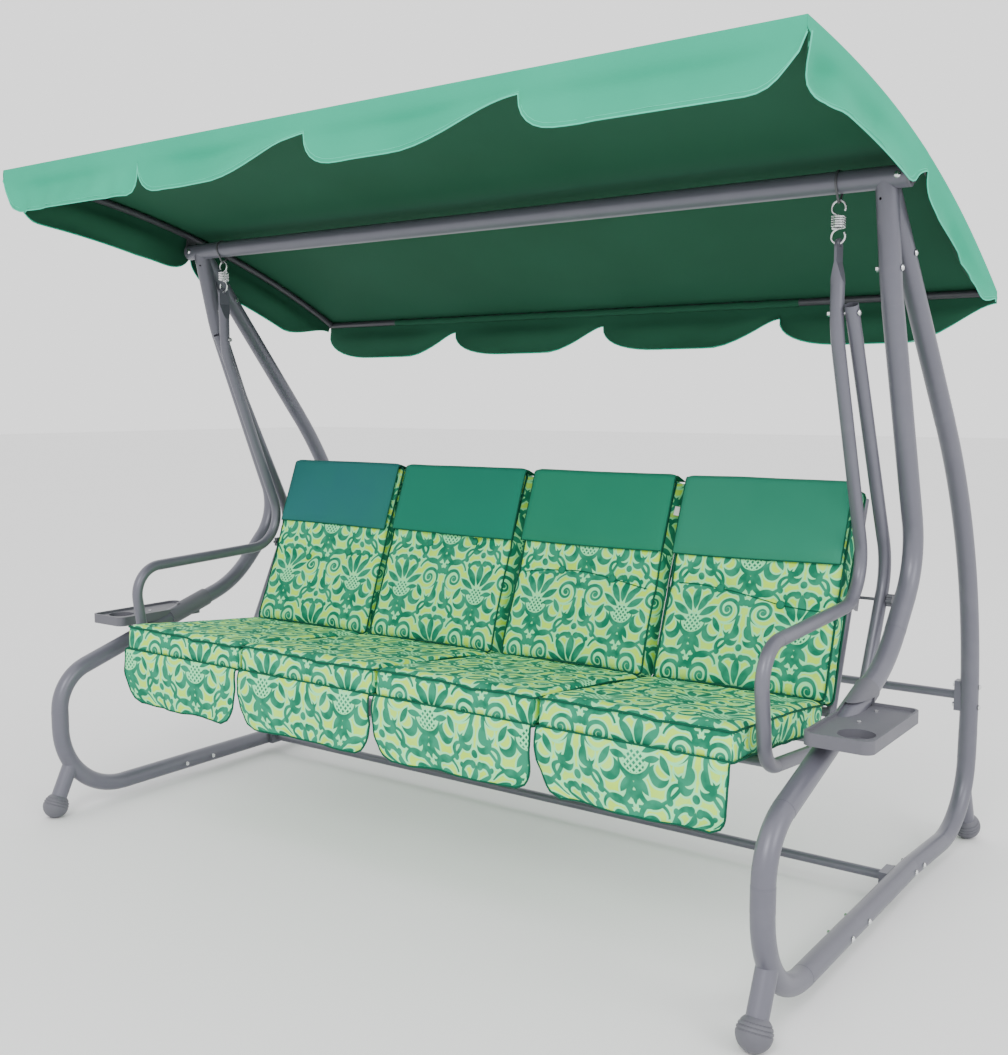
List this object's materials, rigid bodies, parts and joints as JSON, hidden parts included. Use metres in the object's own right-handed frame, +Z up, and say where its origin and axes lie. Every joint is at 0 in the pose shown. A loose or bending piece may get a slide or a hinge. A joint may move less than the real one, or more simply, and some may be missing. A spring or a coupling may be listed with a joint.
{
  "type": "canopy swing bench",
  "caption": "Four-seat garden swing bench on two bent-tube side frames, with spring hangers, reclining cushioned back, side trays and a tilting scalloped canopy.",
  "frame": {"origin": "on the ground, under the centre of the overall box", "axes": "+X along the bench to the right seen from the front, -Y to the front, +Z up"},
  "size_m": [2.5, 1.486, 1.9],
  "materials": {
    "powder_coat": "satin silver-grey powder coat",
    "grey_plastic": "moulded matt",
    "zinc": "bright zinc",
    "dark_steel": "satin",
    "damask_fabric": "printed woven",
    "green_fabric": "plain woven",
    "canopy_fabric": "plain woven, coated"
  },
  "bodies": {
    "frame": {"frame_front_left": "powder_coat", "frame_front_right": "powder_coat", "frame_rear_left": "powder_coat", "frame_rear_right": "powder_coat", "head_socket_left": "powder_coat", "head_socket_right": "powder_coat", "ridge_bar": "powder_coat", "ridge_end_caps": "grey_plastic", "canopy_pivot_bolts": "zinc", "foot_front_left": "grey_plastic", "foot_front_right": "grey_plastic", "foot_rear_left": "grey_plastic", "foot_rear_right": "grey_plastic", "lower_crossbar": "powder_coat", "rear_crossbar": "powder_coat", "joint_plugs": "dark_steel", "frame_bolts": "zinc", "tray_left": "grey_plastic", "tray_right": "grey_plastic", "tray_screws": "zinc", "spring_hook_left": "dark_steel", "spring_hook_right": "dark_steel"},
    "canopy": {"canopy_arms": "dark_steel", "canopy_side_rails": "powder_coat", "canopy_front_rail": "powder_coat", "canopy_rear_rail": "powder_coat", "canopy_fabric": "canopy_fabric"},
    "springs": {"spring_left": "zinc", "spring_right": "zinc"},
    "backrest": {"backrest_frame": "powder_coat", "backrest_straps": "dark_steel", "back_cushion_1": "damask_fabric", "back_cushion_2": "damask_fabric", "back_cushion_3": "damask_fabric", "back_cushion_4": "damask_fabric", "headrest_1": "green_fabric", "headrest_2": "green_fabric", "headrest_3": "green_fabric", "headrest_4": "green_fabric"},
    "knob_left": {"knob_left": "grey_plastic"},
    "knob_right": {"knob_right": "grey_plastic"},
    "bench": {"hanger_front_left": "powder_coat", "hanger_front_right": "powder_coat", "hanger_rear_left": "powder_coat", "hanger_rear_right": "powder_coat", "hanger_bolts": "zinc", "seat_front_rail": "powder_coat", "seat_rear_rail": "powder_coat", "seat_straps": "dark_steel", "seat_cushion_1": "damask_fabric", "seat_cushion_2": "damask_fabric", "seat_cushion_3": "damask_fabric", "seat_cushion_4": "damask_fabric", "seat_flap_1": "damask_fabric", "seat_flap_2": "damask_fabric", "seat_flap_3": "damask_fabric", "seat_flap_4": "damask_fabric", "backrest_hinge_pins": "zinc"}
  },
  "joints": [
    {"name": "canopy_tilt", "type": "hinge", "parent": "frame", "child": "canopy", "pos_m": [0, -0.093, 1.725], "axis": [1, 0, 0], "range_deg": [-10, 20]},
    {"name": "swing", "type": "hinge", "parent": "frame", "child": "springs", "pos_m": [0, -0.093, 1.689], "axis": [1, 0, 0], "range_deg": [-15, 15]},
    {"name": "bounce", "type": "slide", "parent": "springs", "child": "bench", "axis": [0, 0, 1], "range_m": [-0.025, 0], "stiffness_N_per_m": 112000, "springref_m": 0.008, "deforming": ["spring_left", "spring_right"]},
    {"name": "backrest_recline", "type": "hinge", "parent": "bench", "child": "backrest", "pos_m": [0, 0.03768, 0.42094], "axis": [-1, 0, 0], "range_deg": [0, 66]},
    {"name": "knob_left_turn", "type": "hinge", "parent": "bench", "child": "knob_left", "pos_m": [-1.03, 0.178, 0.75], "axis": [1, 0, 0], "continuous": true},
    {"name": "knob_right_turn", "type": "hinge", "parent": "bench", "child": "knob_right", "pos_m": [1.03, 0.178, 0.75], "axis": [1, 0, 0], "continuous": true}
  ]
}
